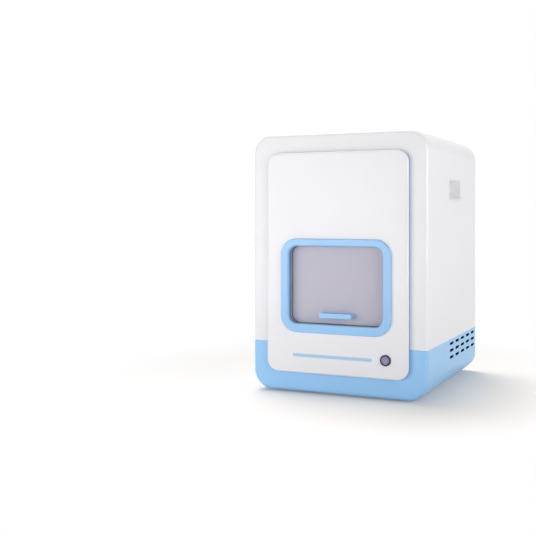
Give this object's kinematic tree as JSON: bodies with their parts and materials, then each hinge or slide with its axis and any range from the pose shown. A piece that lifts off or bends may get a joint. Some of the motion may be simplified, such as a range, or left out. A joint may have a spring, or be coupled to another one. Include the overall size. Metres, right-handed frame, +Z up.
{
  "type": "colony counter",
  "caption": "Bench-top colony counter: rounded two-tone cabinet with a raised front panel, a sliding sash window over a dark imaging chamber, side grips and vents.",
  "frame": {"origin": "middle of the footprint at the underside of the feet", "axes": "+X to the right seen from the front, +Y to the rear, +Z up"},
  "size_m": [0.378, 0.401, 0.53],
  "materials": {
    "shell_white": "smooth satin moulding",
    "shell_blue": "smooth satin moulding",
    "panel_white": "smooth satin moulding",
    "bezel_blue": "satin moulding",
    "strip_blue": "satin",
    "sash_grey": "smooth tinted acrylic sheet",
    "handle_blue": "satin moulding",
    "felt": "pressed felt",
    "rubber": "matt",
    "steel": "zinc plated",
    "black_sheet": "matt black powder coat",
    "sheet_steel": "galvanised sheet",
    "rear_sheet": "fine textured powder coat",
    "board_green": "solder mask",
    "diffuser": "opal",
    "camera_metal": "black anodised",
    "lens_metal": "black anodised",
    "glass": "coated",
    "supply_metal": "mill finish",
    "socket_black": "moulded",
    "pin_metal": "nickel plated",
    "fan_black": "moulded",
    "wire_chrome": "polished wire",
    "button_rim": "dark plated",
    "button_cap": "anodised",
    "button_light": "clear tinted"
  },
  "bodies": {
    "cabinet": {"upper_housing": "shell_white", "lower_housing": "shell_blue", "grip_cup_left": "shell_white", "grip_cup_right": "shell_white", "seam_bracket_left": "sheet_steel", "seam_bracket_right": "sheet_steel", "rear_panel": "rear_sheet", "rear_panel_screws": "steel", "rubber_feet": "rubber", "foot_screws": "steel", "front_panel": "panel_white", "front_panel_screws": "steel", "accent_strip": "strip_blue", "window_bezel": "bezel_blue", "power_button_barrel": "button_rim", "power_button_light_ring": "button_light", "power_button_nut": "steel", "sash_rail_left": "black_sheet", "sash_rail_right": "black_sheet", "sash_liner_left": "felt", "sash_liner_right": "felt", "sash_bumpers": "rubber", "chassis_base": "sheet_steel", "chamber_support_left": "sheet_steel", "chamber_support_right": "sheet_steel", "chamber_liner": "black_sheet", "backlight_tray": "camera_metal", "backlight_board": "board_green", "backlight_diffuser": "diffuser", "dish_ring": "camera_metal", "top_light_diffuser": "diffuser", "top_light_board": "board_green", "camera_bracket": "sheet_steel", "camera_body": "camera_metal", "camera_screws": "steel", "lens_barrel": "lens_metal", "lens_glass": "glass", "main_board": "board_green", "led_driver_board": "board_green", "board_standoffs": "steel", "power_supply": "supply_metal", "power_inlet": "socket_black", "inlet_pins": "pin_metal", "rocker_frame": "socket_black", "usb_port": "steel", "fan_frame": "fan_black", "fan_guard": "wire_chrome", "fan_screws": "steel"},
    "sash": {"sash_pane": "sash_grey", "sash_handle": "handle_blue", "sash_handle_screws": "steel"},
    "button_cap": {"power_button_cap": "button_cap"},
    "rocker": {"rocker_key": "socket_black"},
    "drawer": {"fuse_drawer": "socket_black"},
    "rotor": {"fan_rotor": "fan_black"},
    "focus_ring": {"lens_focus_ring": "lens_metal"},
    "iris_ring": {"lens_iris_ring": "lens_metal"}
  },
  "joints": [
    {"name": "sash_slide", "type": "slide", "parent": "cabinet", "child": "sash", "axis": [0, 0, 1], "range_m": [0, 0.13]},
    {"name": "power_button_press", "type": "slide", "parent": "cabinet", "child": "button_cap", "axis": [0, 1, 0], "range_m": [0, 0.002], "stiffness_N_per_m": 800, "springref_m": -0.001},
    {"name": "rear_switch_rock", "type": "hinge", "parent": "cabinet", "child": "rocker", "pos_m": [0.056, 0.193, 0.062], "axis": [-1, 0, 0], "range_deg": [0, 18]},
    {"name": "fuse_drawer_slide", "type": "slide", "parent": "cabinet", "child": "drawer", "axis": [0, 1, 0], "range_m": [0, 0.017]},
    {"name": "fan_spin", "type": "hinge", "parent": "cabinet", "child": "rotor", "pos_m": [0, 0.18, 0.404], "axis": [0, 1, 0], "continuous": true},
    {"name": "focus_turn", "type": "hinge", "parent": "cabinet", "child": "focus_ring", "pos_m": [0, -0.0355, 0.4525], "axis": [0, 0, 1], "range_deg": [-120, 120]},
    {"name": "iris_turn", "type": "hinge", "parent": "cabinet", "child": "iris_ring", "pos_m": [0, -0.0355, 0.435], "axis": [0, 0, 1], "range_deg": [-40, 40]}
  ]
}
